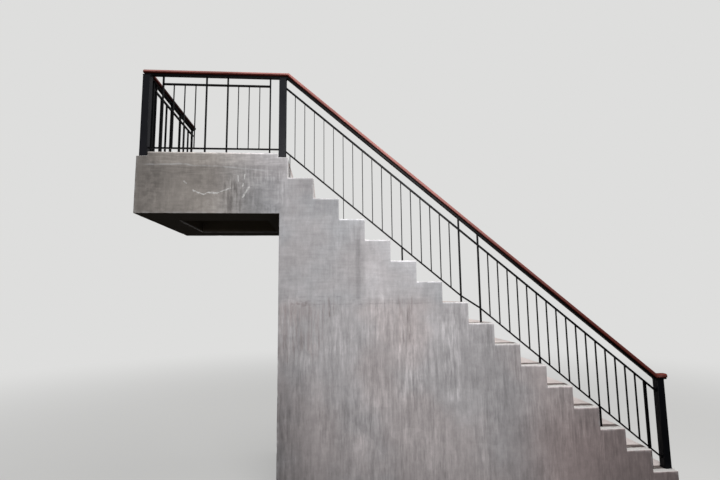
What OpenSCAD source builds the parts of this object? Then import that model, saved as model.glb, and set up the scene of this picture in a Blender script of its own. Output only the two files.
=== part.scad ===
// Straight outdoor stair of plastered concrete, with a raised landing at its head
// and a steel balustrade under a timber handrail along its open side.
// X runs down the flight, Y runs from the front face to the building, and Z is up.
// The origin is on the ground, in the middle of the footprint.

/* [Flight] */
// Height of each step
rise = 200; // [160:5:210]
// Depth of each step
going = 245; // [240:5:300]
// Width of the stair, from its front face to the building
stair_w = 1600; // [1500:50:2000]
// Thickness of the walls under the flight
wall_t = 100; // [90:5:150]
// Thickness of the sloping slab, square to its slope
waist_t = 130; // [100:10:180]
// Thickness of each tread slab
tread_t = 40; // [25:5:50]
// Width and depth of the open joint along the ends of each tread
tread_joint = 6; // [3:1:10]

/* [Landing] */
// Length of the landing, from its free end to the top nosing
landing_l = 1410; // [1380:10:1600]
// Depth of the landing's edge beams below its floor
beam_h = 550; // [400:10:600]
// Width of the front edge beam
front_beam_w = 430; // [300:10:450]
// Width of the edge beam against the building
rear_beam_w = 290; // [200:10:350]
// Width of the edge beam at the free end
end_beam_w = 280; // [200:10:350]
// Width of the edge beam at the head of the flight
inner_beam_w = 230; // [150:10:300]
// Thickness of the slab between the edge beams
slab_t = 110; // [100:10:160]
// Thickness of the landing's floor finish
floor_t = 40; // [25:5:50]
// Height of the kerb above the landing's floor
kerb_h = 40; // [20:5:80]
// Width of the kerb
kerb_w = 150; // [140:5:200]
// Length of wall that runs on under the landing
wall_return = 75; // [50:5:150]

/* [Handrail] */
// Height of the handrail above the landing
rail_h = 890; // [850:5:1000]
// Height of the handrail above the lowest tread
foot_rail_h = 877; // [850:1:1000]
// Width of the timber handrail
timber_w = 70; // [60:1:80]
// Thickness of the timber handrail
timber_t = 35; // [30:1:45]
// Radius of the rounded top edges of the timber
timber_r = 12; // [6:1:15]
// Width of the steel bar under the timber
bar_w = 40; // [30:1:50]
// Thickness of the steel bar under the timber
bar_t = 18; // [12:1:30]
// Distance from the front face to the centre line of the balustrade
rail_y = 95; // [80:1:105]
// How far the handrail runs on past the nosing of the lowest tread
rail_overrun = 25; // [0:5:60]

/* [Balustrade] */
// Width of the square newel posts
newel_w = 70; // [60:1:80]
// Width of the flat posts and legs, seen from the front
post_w = 12; // [10:1:16]
// Depth of the flat posts and legs
post_d = 25; // [24:1:35]
// Width of the flat balusters, seen from the front
baluster_w = 5; // [4:0.5:8]
// Depth of the flat balusters
baluster_d = 20; // [15:1:20]
// Height of the rail under the handrail that the balusters reach up to
subrail_h = 15; // [12:1:20]
// Height of the bottom rail
footrail_h = 12; // [10:1:16]
// Depth of the rails that the balusters join
panel_rail_d = 22; // [21:1:23]
// Distance between balusters along the flight
pitch = 95; // [90:1:100]
// Distance between balusters along the landing
landing_pitch = 104; // [95:1:106]

/* [Hidden] */
$fn = 48;
treads = 15;
floor_z = rise * (treads + 1);
soffit_z = floor_z - beam_h;
screed_z = floor_z - floor_t;
flight_l = treads * going;
slope = rise / going;
waist_drop = waist_t / cos(atan(slope));
left_x = -landing_l;

// Newels, each given by its left side
newel_gap = 25;
foot_newel_gap = 15;
corner_newel_x = left_x;
top_newel_x = -newel_gap - newel_w;
foot_newel_x = flight_l - foot_newel_gap - newel_w;
newel_y = rail_y - newel_w / 2;
side_rail_x = left_x + newel_w / 2;

// Line of the handrail's top surface: along the landing, down the flight and over the foot newel
rail_z = floor_z + rail_h;
foot_rail_z = rise + foot_rail_h;
bend_x = -2;
foot_bend_x = foot_newel_x + 12;
end_x = flight_l + rail_overrun;
rail_path = [
    [side_rail_x - timber_w / 2, rail_z],
    [bend_x, rail_z],
    [foot_bend_x, foot_rail_z],
    [end_x, foot_rail_z]
];
rail_slope = (rail_z - foot_rail_z) / (foot_bend_x - bend_x);
rail_angle = atan(rail_slope);
under_bar = timber_t + bar_t;
corner_x = side_rail_x;

// Uprights along the flight, evenly spaced in two runs, with a leg down to the steps at every sixth.
// The last upright before the foot newel is a post that stands on its tread.
run_bars = 18;
bars_per_leg = 6;
upper_leg_x = 2 * going + 47;
upper_bars = [for (n = [0:run_bars - 1]) upper_leg_x + (n + 1 - bars_per_leg) * pitch];
lower_bars = [for (n = [0:run_bars - 1]) 7 * going + 150 + n * pitch];
upper_end_x = upper_bars[run_bars - 1];
lower_start_x = lower_bars[0];
lower_end_x = lower_bars[run_bars - 1];
head_leg_x = 14;
upper_legs = [head_leg_x, upper_leg_x, upper_leg_x + bars_per_leg * pitch];
lower_legs = [lower_start_x + bars_per_leg * pitch, lower_start_x + 2 * bars_per_leg * pitch];

// Clear height between the steel bar and the rail below it
flight_bar_gap = 72;
landing_bar_gap = 75;
end_bar_gap = 58;

// Clear height between the landing's kerb and the bottom rail
kerb_gap = 60;

// Height of each sloping bottom rail over the line of the nosings, at the rail's lower end
upper_nosing_gap = 28;
lower_nosing_gap = 25;

// Drops from the handrail's top surface to the centre lines of the panel rails
flight_subrail_drop = (under_bar + flight_bar_gap + subrail_h / 2) / cos(rail_angle);
landing_subrail_drop = under_bar + landing_bar_gap + subrail_h / 2;
end_subrail_drop = under_bar + end_bar_gap + subrail_h / 2;
landing_footrail_drop = rail_h - kerb_h - kerb_gap - footrail_h / 2;
upper_footrail_drop = rail_top(upper_end_x) - nosing_z(upper_end_x) - upper_nosing_gap;
lower_footrail_drop = rail_top(foot_newel_x) - nosing_z(foot_newel_x) - lower_nosing_gap;

// Bays along the landing: the first post of each, with three balusters between its posts
landing_gaps = 4;
landing_bay = landing_gaps * landing_pitch;
landing_bays = [left_x + newel_w + 117, top_newel_x - 90 - landing_bay];

// Bays of the end panel: two, of three spaces each, with a plain gap between them.
// One more post stands close to the first, on the side of the corner newel.
building_y = stair_w;
end_gaps = 3;
end_first = newel_y + newel_w + 180;
end_last = building_y - 50;
end_gap = 290;
end_bay = (end_last - end_first - end_gap) / 2;
end_bays = [end_first, end_last - end_bay];
end_extra = end_first - 70;

// Space between the corner newel and the raised part of the front kerb
kerb_notch = 32;

// Middle of the whole stair along X
mid_x = (left_x + end_x) / 2;

concrete_colour = [0.62, 0.61, 0.60];
tread_colour = [0.86, 0.81, 0.76];
steel_colour = [0.12, 0.13, 0.17];
timber_colour = [0.52, 0.20, 0.13];

TREADS = [for (i = [1:treads]) str("tread_", i < 10 ? "0" : "", i)];

// Level of the step with this number, counted down from the landing
function step_z(k) = floor_z - k * rise;

// Level of the step that lies under a place along the flight
function standing_z(x) = step_z(ceil(x / going));

// Level of the line through the nosings at a place along the flight
function nosing_z(x) = floor_z - slope * x;

// Level of the handrail's top surface at a place along the flight
function rail_top(x) = rail_z - rail_slope * (x - bend_x);

// Unit normal that points down from the part of the handrail's line that starts at point i
function down_normal(i) =
    let (d = rail_path[i + 1] - rail_path[i], n = norm(d)) [d[1], -d[0]] / n;

// Point at a depth below the handrail's line, on the mitre at point i
function below(i, depth) =
    let (
        last = len(rail_path) - 1,
        a = down_normal(max(i - 1, 0)),
        b = down_normal(min(i, last - 1))
    )
    rail_path[i] + depth * (a + b) / (1 + a * b);

// Moves a piece from the stair's own measures to the middle of the footprint
module placed() {
    translate([-mid_x, -stair_w / 2, 0]) children();
}

// A plate whose outline is drawn in the X and Z plane, from y0 to y1
module upright(y0, y1) {
    translate([0, y1, 0]) rotate([90, 0, 0]) linear_extrude(y1 - y0) children();
}

// A box between two corners
module box(a, b) {
    translate(a) cube(b - a);
}

// Wall under the flight, with a top edge that follows the steps
module stepped_wall(y0) {
    steps = [for (k = [treads:-1:1], side = [0, 1]) [(k - side) * going, step_z(k)]];
    color(concrete_colour) placed() upright(y0, y0 + wall_t)
        polygon(concat([[-wall_return, 0], [flight_l, 0]], steps, [[0, soffit_z], [-wall_return, soffit_z]]));
}

module front_wall() {
    stepped_wall(0);
}

module rear_wall() {
    stepped_wall(stair_w - wall_t);
}

// Sloping slab between the walls, from the landing's inner beam to the ground
module flight_slab() {
    head_z = step_z(1) - tread_t;
    color(concrete_colour) placed() upright(wall_t, stair_w - wall_t)
        polygon([[0, head_z], [head_z / slope, 0], [(head_z - waist_drop) / slope, 0], [0, head_z - waist_drop]]);
}

// Wedge of concrete that carries one tread on the sloping slab
module step_block(k) {
    tip = 3;
    top = step_z(k) - tread_t;
    heel_x = k * going;
    toe_x = heel_x - going + tip;
    toe_z = top - slope * tip;
    foot_z = max(top - rise, 0);
    foot_x = toe_x + (toe_z - foot_z) / slope;
    upright(wall_t, stair_w - wall_t)
        polygon([[toe_x, top], [heel_x, top], [heel_x, foot_z], [foot_x, foot_z], [toe_x, toe_z]]);
}

module step_blocks() {
    color(concrete_colour) placed() for (k = [1:treads]) step_block(k);
}

// Tread slab number i counted from the ground, with an open joint along both of its ends
module tread(i) {
    k = treads + 1 - i;
    near = wall_t;
    far = stair_w - wall_t;
    top = step_z(k);
    color(tread_colour) placed() translate([(k - 1) * going, 0, 0]) rotate([90, 0, 90]) linear_extrude(going)
        polygon([
            [near, top - tread_t], [far, top - tread_t],
            [far, top - tread_joint], [far - tread_joint, top - tread_joint],
            [far - tread_joint, top], [near + tread_joint, top],
            [near + tread_joint, top - tread_joint], [near, top - tread_joint]
        ]);
}

module landing_front_beam() {
    color(concrete_colour) placed() box([left_x, 0, soffit_z], [0, front_beam_w, screed_z]);
}

module landing_rear_beam() {
    color(concrete_colour) placed() box([left_x, stair_w - rear_beam_w, soffit_z], [0, stair_w, screed_z]);
}

module landing_end_beam() {
    color(concrete_colour) placed()
        box([left_x, front_beam_w, soffit_z], [left_x + end_beam_w, stair_w - rear_beam_w, screed_z]);
}

module landing_inner_beam() {
    color(concrete_colour) placed()
        box([-inner_beam_w, front_beam_w, soffit_z], [0, stair_w - rear_beam_w, screed_z]);
}

// Slab in the frame of edge beams: its underside is the sunk part of the soffit
module landing_slab() {
    color(concrete_colour) placed()
        box([left_x + end_beam_w, front_beam_w, screed_z - slab_t], [-inner_beam_w, stair_w - rear_beam_w, screed_z]);
}

module landing_floor() {
    color(tread_colour) placed() box([left_x + kerb_w, kerb_w, screed_z], [0, stair_w, floor_z]);
}

// Kerb along the front: level with the floor under each newel and raised between them
module kerb_front() {
    color(concrete_colour) placed() union() {
        box([left_x, 0, screed_z], [0, kerb_w, floor_z]);
        box([left_x + newel_w + kerb_notch, 0, floor_z - 1], [top_newel_x, kerb_w, floor_z + kerb_h]);
    }
}

module kerb_end() {
    color(concrete_colour) placed() box([left_x, kerb_w, screed_z], [left_x + kerb_w, stair_w, floor_z + kerb_h]);
}

// Square newel post that stands at foot_z and carries the handrail's bar at head_z
module newel(x, foot_z, head_z) {
    color(steel_colour) placed() box([x, newel_y, foot_z], [x + newel_w, newel_y + newel_w, head_z]);
}

module corner_newel() {
    newel(corner_newel_x, floor_z, rail_z - under_bar);
}

module top_newel() {
    newel(top_newel_x, floor_z, rail_z - under_bar);
}

module foot_newel() {
    newel(foot_newel_x, rise, foot_rail_z - under_bar);
}

// Outline of one stretch of the handrail between two depths below its top surface
module rail_outline(i, top, bottom) {
    polygon([below(i, top), below(i + 1, top), below(i + 1, bottom), below(i, bottom)]);
}

// Plan of the landing's rail, cut on the corner's mitre
module front_mitre(w) {
    polygon([
        [corner_x - w / 2, rail_y - w / 2], [0, rail_y - w / 2],
        [0, rail_y + w / 2], [corner_x + w / 2, rail_y + w / 2]
    ]);
}

// Plan of the end rail, cut on the corner's mitre
module end_mitre(w) {
    polygon([
        [corner_x - w / 2, rail_y - w / 2], [corner_x + w / 2, rail_y + w / 2],
        [corner_x + w / 2, building_y], [corner_x - w / 2, building_y]
    ]);
}

// Steel bar under the timber along one stretch of the handrail
module rail_bar(i) {
    upright(rail_y - bar_w / 2, rail_y + bar_w / 2) rail_outline(i, timber_t, under_bar);
}

module rail_bar_landing() {
    color(steel_colour) placed() intersection() {
        rail_bar(0);
        translate([0, 0, rail_z - 2 * under_bar]) linear_extrude(2 * under_bar) front_mitre(bar_w);
    }
}

module rail_bar_end() {
    color(steel_colour) placed() translate([0, 0, rail_z - under_bar]) linear_extrude(bar_t) end_mitre(bar_w);
}

module rail_bar_flight() {
    color(steel_colour) placed() rail_bar(1);
}

module rail_bar_foot() {
    color(steel_colour) placed() rail_bar(2);
}

// Section of the timber handrail: flat below, with rounded top edges
module timber_section() {
    translate([-timber_w / 2 + timber_r, -timber_t]) square([timber_w - 2 * timber_r, timber_t]);
    translate([-timber_w / 2, -timber_t]) square([timber_w, timber_t - timber_r]);
    for (side = [-1, 1]) translate([side * (timber_w / 2 - timber_r), -timber_r]) circle(timber_r);
}

// Timber along one stretch of the handrail, cut on its mitres
module timber(i) {
    d = rail_path[i + 1] - rail_path[i];
    spare = timber_w;
    intersection() {
        translate([rail_path[i][0], rail_y, rail_path[i][1]]) rotate([0, -atan2(d[1], d[0]), 0])
            translate([-spare, 0, 0]) rotate([90, 0, 90]) linear_extrude(norm(d) + 2 * spare) timber_section();
        upright(rail_y - timber_w, rail_y + timber_w) rail_outline(i, -1, timber_t);
    }
}

module handrail_landing() {
    color(timber_colour) placed() intersection() {
        timber(0);
        translate([0, 0, rail_z - 2 * timber_t]) linear_extrude(3 * timber_t) front_mitre(timber_w);
    }
}

module handrail_end() {
    color(timber_colour) placed() intersection() {
        translate([corner_x, building_y, rail_z]) rotate([90, 0, 0]) linear_extrude(building_y) timber_section();
        translate([0, 0, rail_z - 2 * timber_t]) linear_extrude(3 * timber_t) end_mitre(timber_w);
    }
}

module handrail_flight() {
    color(timber_colour) placed() timber(1);
}

module handrail_foot() {
    color(timber_colour) placed() timber(2);
}

// Flat upright bar of the front balustrade, w wide and d deep, whose head may follow a slope
module upright_bar(x, w, d, foot, head_left, head_right) {
    upright(rail_y - d / 2, rail_y + d / 2)
        polygon([[x - w / 2, foot], [x + w / 2, foot], [x + w / 2, head_right], [x - w / 2, head_left]]);
}

// Post or leg of the flight: from the tread below it to a drop below the handrail's top surface
module flight_post(x, head_drop) {
    left = x - post_w / 2;
    right = x + post_w / 2;
    upright_bar(x, post_w, post_d, standing_z(x), rail_top(left) - head_drop, rail_top(right) - head_drop);
}

// Baluster of the flight: from the bottom rail to the rail under the handrail
module flight_baluster(x, foot_drop) {
    head = rail_top(x) - flight_subrail_drop;
    upright_bar(x, baluster_w, baluster_d, rail_top(x) - foot_drop, head, head);
}

// Sloping rail of the flight between two places, at drops d0 and d1 below the handrail's top surface
module sloping_rail(x0, x1, d0, d1, h) {
    half = h / cos(rail_angle) / 2;
    z0 = rail_top(x0) - d0;
    z1 = rail_top(x1) - d1;
    upright(rail_y - panel_rail_d / 2, rail_y + panel_rail_d / 2)
        polygon([[x0, z0 - half], [x1, z1 - half], [x1, z1 + half], [x0, z0 + half]]);
}

// Upper panel, with the short length of bottom rail that runs on to the lower panel
module flight_panel_upper() {
    next_x = lower_start_x - post_w / 2;
    head_x = top_newel_x + newel_w;
    color(steel_colour) placed() union() {
        sloping_rail(head_x, next_x, flight_subrail_drop, flight_subrail_drop, subrail_h);
        sloping_rail(head_x, upper_end_x, upper_footrail_drop, upper_footrail_drop, footrail_h);
        sloping_rail(upper_end_x, next_x, upper_footrail_drop, lower_footrail_drop, footrail_h);
        for (x = upper_bars) if (x < upper_end_x) flight_baluster(x, upper_footrail_drop);
        for (x = upper_legs) flight_post(x, upper_footrail_drop);
        flight_post(upper_end_x, under_bar / cos(rail_angle));
    }
}

module flight_panel_lower() {
    first_x = lower_start_x - post_w / 2;
    color(steel_colour) placed() union() {
        sloping_rail(first_x, foot_newel_x, flight_subrail_drop, flight_subrail_drop, subrail_h);
        sloping_rail(first_x, foot_newel_x, lower_footrail_drop, lower_footrail_drop, footrail_h);
        for (x = lower_bars) if (x > lower_start_x && x < lower_end_x) flight_baluster(x, lower_footrail_drop);
        for (x = lower_legs) flight_post(x, lower_footrail_drop);
        flight_post(lower_start_x, under_bar / cos(rail_angle));
        flight_post(lower_end_x, flight_subrail_drop);
    }
}

// Level rail along the front of the landing
module level_rail(x0, x1, drop, h) {
    z = rail_z - drop;
    box([x0, rail_y - panel_rail_d / 2, z - h / 2], [x1, rail_y + panel_rail_d / 2, z + h / 2]);
}

module landing_panel() {
    kerb_z = floor_z + kerb_h;
    head_z = rail_z - under_bar;
    sub_z = rail_z - landing_subrail_drop;
    foot_z = rail_z - landing_footrail_drop;
    first = landing_bays[0];
    last = landing_bays[1] + landing_bay;
    color(steel_colour) placed() union() {
        level_rail(left_x + newel_w, top_newel_x, landing_footrail_drop, footrail_h);
        level_rail(first, last, landing_subrail_drop, subrail_h);
        for (x = landing_bays) {
            for (end = [0, landing_bay]) upright_bar(x + end, post_w, post_d, kerb_z, head_z, head_z);
            for (j = [1:landing_gaps - 1])
                upright_bar(x + j * landing_pitch, baluster_w, baluster_d, foot_z, sub_z, sub_z);
        }
    }
}

// Flat bar of the end panel, w wide along Y and d deep, between two levels
module end_bar(y, w, d, z0, z1) {
    box([side_rail_x - d / 2, y - w / 2, z0], [side_rail_x + d / 2, y + w / 2, z1]);
}

// Level rail of the end panel, from y0 to the building
module end_rail(y0, z, h) {
    half = panel_rail_d / 2;
    box([side_rail_x - half, y0, z - h / 2], [side_rail_x + half, building_y, z + h / 2]);
}

module end_panel() {
    sub_z = rail_z - end_subrail_drop;
    foot_z = rail_z - landing_footrail_drop;
    kerb_z = floor_z + kerb_h;
    head_z = rail_z - under_bar;
    color(steel_colour) placed() union() {
        end_rail(newel_y + newel_w, foot_z, footrail_h);
        end_rail(end_extra, sub_z, subrail_h);
        end_bar(end_extra, post_w, post_d, kerb_z, head_z);
        for (y = end_bays) {
            for (end = [0, end_bay]) end_bar(y + end, post_w, post_d, kerb_z, head_z);
            for (j = [1:end_gaps - 1])
                end_bar(y + j * end_bay / end_gaps, baluster_w, baluster_d, foot_z, sub_z);
        }
    }
}

front_wall();
rear_wall();
flight_slab();
step_blocks();
for (i = [1:treads]) tread(i);
landing_front_beam();
landing_rear_beam();
landing_end_beam();
landing_inner_beam();
landing_slab();
landing_floor();
kerb_front();
kerb_end();
corner_newel();
top_newel();
foot_newel();
rail_bar_landing();
rail_bar_end();
rail_bar_flight();
rail_bar_foot();
handrail_landing();
handrail_end();
handrail_flight();
handrail_foot();
landing_panel();
end_panel();
flight_panel_upper();
flight_panel_lower();
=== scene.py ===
"""Looks of an outdoor stair of plastered concrete with a steel and timber balustrade.

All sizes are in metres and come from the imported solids. X runs down the flight, Y runs from
the open front face to the building, Z is up, and the origin is under the middle of the stair.
"""

from __future__ import annotations

import logging
import math
from dataclasses import dataclass, replace
from enum import Enum
from typing import Mapping, Sequence

import bmesh
import bpy
import numpy as np
from mathutils import Matrix, Vector, noise

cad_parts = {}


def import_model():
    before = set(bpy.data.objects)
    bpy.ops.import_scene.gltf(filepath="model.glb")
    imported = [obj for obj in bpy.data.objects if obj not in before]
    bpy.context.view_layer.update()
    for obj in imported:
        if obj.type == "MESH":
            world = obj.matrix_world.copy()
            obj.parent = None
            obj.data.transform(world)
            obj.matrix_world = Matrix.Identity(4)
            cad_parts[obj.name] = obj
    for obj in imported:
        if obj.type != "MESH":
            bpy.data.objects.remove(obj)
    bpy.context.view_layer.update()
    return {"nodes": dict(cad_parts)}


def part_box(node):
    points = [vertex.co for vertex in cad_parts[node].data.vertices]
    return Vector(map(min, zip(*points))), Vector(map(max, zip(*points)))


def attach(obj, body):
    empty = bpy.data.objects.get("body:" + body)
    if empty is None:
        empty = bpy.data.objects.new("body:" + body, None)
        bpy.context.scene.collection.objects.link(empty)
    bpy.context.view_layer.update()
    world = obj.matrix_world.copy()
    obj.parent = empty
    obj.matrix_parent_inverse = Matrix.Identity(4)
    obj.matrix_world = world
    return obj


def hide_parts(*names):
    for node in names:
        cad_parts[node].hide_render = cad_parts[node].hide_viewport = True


Material = bpy.types.Material
Mesh = bpy.types.Mesh
Solid = bmesh.types.BMesh
LOG = logging.getLogger("stair")
BODY = "root"
TOUCH = 1e-4


class Slot(Enum):
    """Material slots of the stair's materials."""

    PLASTER = "plastered_concrete"
    CEMENT = "tread_cement"
    STEEL = "painted_steel"
    TIMBER = "handrail_timber"


class Axis(Enum):
    """Axes of the row frame."""

    X = 0
    Y = 1
    Z = 2


@dataclass(frozen=True)
class Tint:
    """A paint or stone colour, as the eight bit values that a screen shows."""

    red: float
    green: float
    blue: float

    def linear(self) -> tuple[float, ...]:
        """Returns the colour as Blender's shaders take it, with full cover."""
        shown = np.array([self.red, self.green, self.blue]) / 255
        light = np.where(shown <= 0.04045, shown / 12.92, ((shown + 0.055) / 1.055) ** 2.4)
        return (*light.tolist(), 1.0)


@dataclass(frozen=True)
class Block:
    """An upright box between two corners."""

    lo: Vector
    hi: Vector

    @classmethod
    def of(cls, node: str) -> Block:
        """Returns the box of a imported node."""
        return cls(*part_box(node))

    @classmethod
    def between(cls, *sides: tuple[float, float]) -> Block:
        """Returns the box between two planes on each axis."""
        return cls(*(Vector(corner) for corner in zip(*sides)))

    @property
    def size(self) -> Vector:
        """Length of each side."""
        return self.hi - self.lo

    @property
    def middle(self) -> Vector:
        """Centre of the box."""
        return (self.lo + self.hi) / 2


@dataclass(frozen=True)
class Finish:
    """A material, with the slot that it belongs to."""

    material: Material
    slot: Slot

    def dress(self, mesh: Mesh, name: str, *nodes: str) -> None:
        """Makes a mesh one piece of the stair.

        Args:
            mesh: The piece's mesh, in the row frame.
            name: Name of the piece.
            *nodes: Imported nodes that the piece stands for.
        """
        mesh.name = name
        mesh.materials.clear()
        mesh.materials.append(self.material)
        piece = linked(name, mesh)
        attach(piece, BODY)
        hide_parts(*nodes)
        LOG.info("%s: %d faces, for %s", name, len(mesh.polygons), ", ".join(nodes))


def linked(name: str, data: bpy.types.ID) -> bpy.types.Object:
    """Returns a new object of the scene that shows the data."""
    thing = bpy.data.objects.new(name, data)
    bpy.context.scene.collection.objects.link(thing)
    return thing


def baked(maker: bpy.types.Object) -> Mesh:
    """Returns an object's mesh with its modifiers worked in, and deletes the object."""
    graph = bpy.context.evaluated_depsgraph_get()
    mesh = bpy.data.meshes.new_from_object(maker.evaluated_get(graph))
    bpy.data.objects.remove(maker)
    return mesh


def weighted(mesh: Mesh) -> Mesh:
    """Shades a mesh smooth, with its flat faces kept flat up to their rounded edges.

    Args:
        mesh: The mesh, which is used up.

    Returns:
        The shaded mesh.
    """
    mesh.shade_smooth()
    maker = linked("maker", mesh)
    weigh = maker.modifiers.new("normals", "WEIGHTED_NORMAL")
    weigh.weight = 80
    weigh.keep_sharp = False
    return baked(maker)


def as_mesh(solid: Solid, name: str = "solid") -> Mesh:
    """Returns a solid's mesh, and frees the solid."""
    mesh = bpy.data.meshes.new(name)
    solid.to_mesh(mesh)
    solid.free()
    return mesh


def joined(meshes: Sequence[Mesh]) -> Mesh:
    """Returns one mesh that holds all the given ones, and deletes them."""
    whole = bmesh.new()
    for mesh in meshes:
        whole.from_mesh(mesh)
        bpy.data.meshes.remove(mesh)
    return as_mesh(whole)


def loft(sections: Sequence[Sequence[Vector]]) -> Solid:
    """Skins a closed solid over a row of outlines with equal numbers of points.

    Args:
        sections: Outlines from one end to the other.

    Returns:
        The solid, with its faces pointing out.
    """
    solid = bmesh.new()
    rings = [[solid.verts.new(p) for p in outline] for outline in sections]
    count = len(rings[0])
    for ring, after in zip(rings, rings[1:]):
        for i in range(count):
            j = (i + 1) % count
            solid.faces.new((ring[i], ring[j], after[j], after[i]))
    solid.faces.new(rings[0][::-1])
    solid.faces.new(rings[-1])
    bmesh.ops.recalc_face_normals(solid, faces=solid.faces)
    return solid


def rounded_outline(
    across: tuple[float, float],
    upward: tuple[float, float],
    low_r: float,
    high_r: float,
    steps: int = 3,
) -> list[tuple[float, float]]:
    """Draws a rectangle with rounded corners.

    Args:
        across: Lowest and highest value across.
        upward: Lowest and highest value upwards.
        low_r: Radius of the two lower corners.
        high_r: Radius of the two upper corners.
        steps: Edges in each rounded corner.

    Returns:
        The outline's points, anticlockwise.
    """
    left, right = across
    bottom, top = upward
    corners = [
        (right - low_r, bottom + low_r, low_r, -90),
        (right - high_r, top - high_r, high_r, 0),
        (left + high_r, top - high_r, high_r, 90),
        (left + low_r, bottom + low_r, low_r, 180),
    ]
    points = []
    for u, v, radius, start in corners:
        for k in range(steps + 1):
            turn = math.radians(start + 90 * k / steps)
            points.append((u + radius * math.cos(turn), v + radius * math.sin(turn)))
    return points


class StairPlan:
    """Main lines of the stair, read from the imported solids."""

    def __init__(self, nodes: Mapping[str, bpy.types.Object]) -> None:
        """Reads the steps, the walls and the landing.

        Args:
            nodes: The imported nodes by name.
        """
        self.tread_nodes = sorted(n for n in nodes if n.startswith("tread_"))
        self.treads = [Block.of(n) for n in self.tread_nodes]
        head = self.treads[-1]
        self.rise = self.treads[1].hi.z - self.treads[0].hi.z
        self.going = head.size.x
        self.head_x = head.lo.x
        self.head_z = head.hi.z
        self.front_wall = Block.of("front_wall")
        self.rear_wall = Block.of("rear_wall")
        self.floor = Block.of("landing_floor")
        self.soffit_z = Block.of("landing_front_beam").lo.z
        self.kerb = Block.of("kerb_front")
        corners = [v.co for v in nodes["kerb_front"].data.vertices]
        upper = [corner.x for corner in corners if corner.z > self.floor.hi.z + TOUCH]
        self.kerb_raised = (min(upper), max(upper))

    def front(self, s: ShaderNodes) -> Value:
        """Returns the mask of the open front face."""
        front_y = self.front_wall.lo.y
        return s.y.span(front_y + 0.02, front_y + 0.01)


class Value:
    """A number, colour or shape inside a node tree, where numbers take Python's arithmetic."""

    def __init__(self, tree: NodeTree, socket: bpy.types.NodeSocket) -> None:
        """Wraps the output of a node."""
        self.tree = tree
        self.socket = socket

    def __add__(self, other: object) -> Value:
        """Returns the sum."""
        return self.tree.calc("ADD", self, other)

    def __sub__(self, other: object) -> Value:
        """Returns the difference."""
        return self.tree.calc("SUBTRACT", self, other)

    def __mul__(self, other: object) -> Value:
        """Returns the product."""
        return self.tree.calc("MULTIPLY", self, other)

    def above(self, other: object) -> Value:
        """Returns the greater of two numbers."""
        return self.tree.calc("MAXIMUM", self, other)

    def span(self, low: float, high: float, out_low: object = 0, out_high: object = 1) -> Value:
        """Maps the number's range smoothly onto another range, and holds it at both ends."""
        ends = (self, low, high, out_low, out_high)
        return self.tree.out("ShaderNodeMapRange", *ends, interpolation_type="SMOOTHSTEP")

    def window(self, low: float, high: float, soft: float) -> Value:
        """Returns a mask that is 1 between two places and fades over a soft distance."""
        return self.span(low - soft, low + soft) * self.span(high + soft, high - soft)

    def swing(self, amount: float) -> Value:
        """Returns a factor around 1 that follows a pattern, up or down by half the amount."""
        return self * amount + (1 - amount / 2)


class NodeTree:
    """A node tree, built with short calls."""

    def __init__(self, tree: bpy.types.NodeTree) -> None:
        """Empties one of Blender's trees and keeps it."""
        self.tree = tree
        tree.nodes.clear()

    def feed(self, target: bpy.types.NodeSocket, value: object) -> None:
        """Links a value to an input, or sets the input to a plain number, colour or vector.

        Args:
            target: The input.
            value: The value, or None to leave the input as it is.
        """
        if isinstance(value, Value):
            self.tree.links.new(value.socket, target)
        elif isinstance(value, Tint):
            target.default_value = value.linear()[: len(target.default_value)]
        elif value is not None:
            target.default_value = value

    def add(self, kind: str, *inputs: object, **named: object) -> bpy.types.Node:
        """Adds a node.

        Args:
            kind: Blender's name of the node type.
            *inputs: A value for each input in turn, or None to leave it.
            **named: Settings in small letters. Inputs have a capital, and underscores for spaces.

        Returns:
            The node.
        """
        node = self.tree.nodes.new(kind)
        for key, value in named.items():
            if key[0].islower():
                setattr(node, key, value)
        for target, value in zip(node.inputs, inputs):
            self.feed(target, value)
        for key, value in named.items():
            if key[0].isupper():
                name = key.replace("_", " ")
                self.feed(next(i for i in node.inputs if i.name == name and i.enabled), value)
        return node

    def out(self, kind: str, *inputs: object, **named: object) -> Value:
        """Adds a node as `add` does, and returns its first output."""
        return Value(self, self.add(kind, *inputs, **named).outputs[0])

    def calc(self, operation: str, *values: object) -> Value:
        """Returns the result of one Math node."""
        return self.out("ShaderNodeMath", *values, operation=operation)


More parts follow.
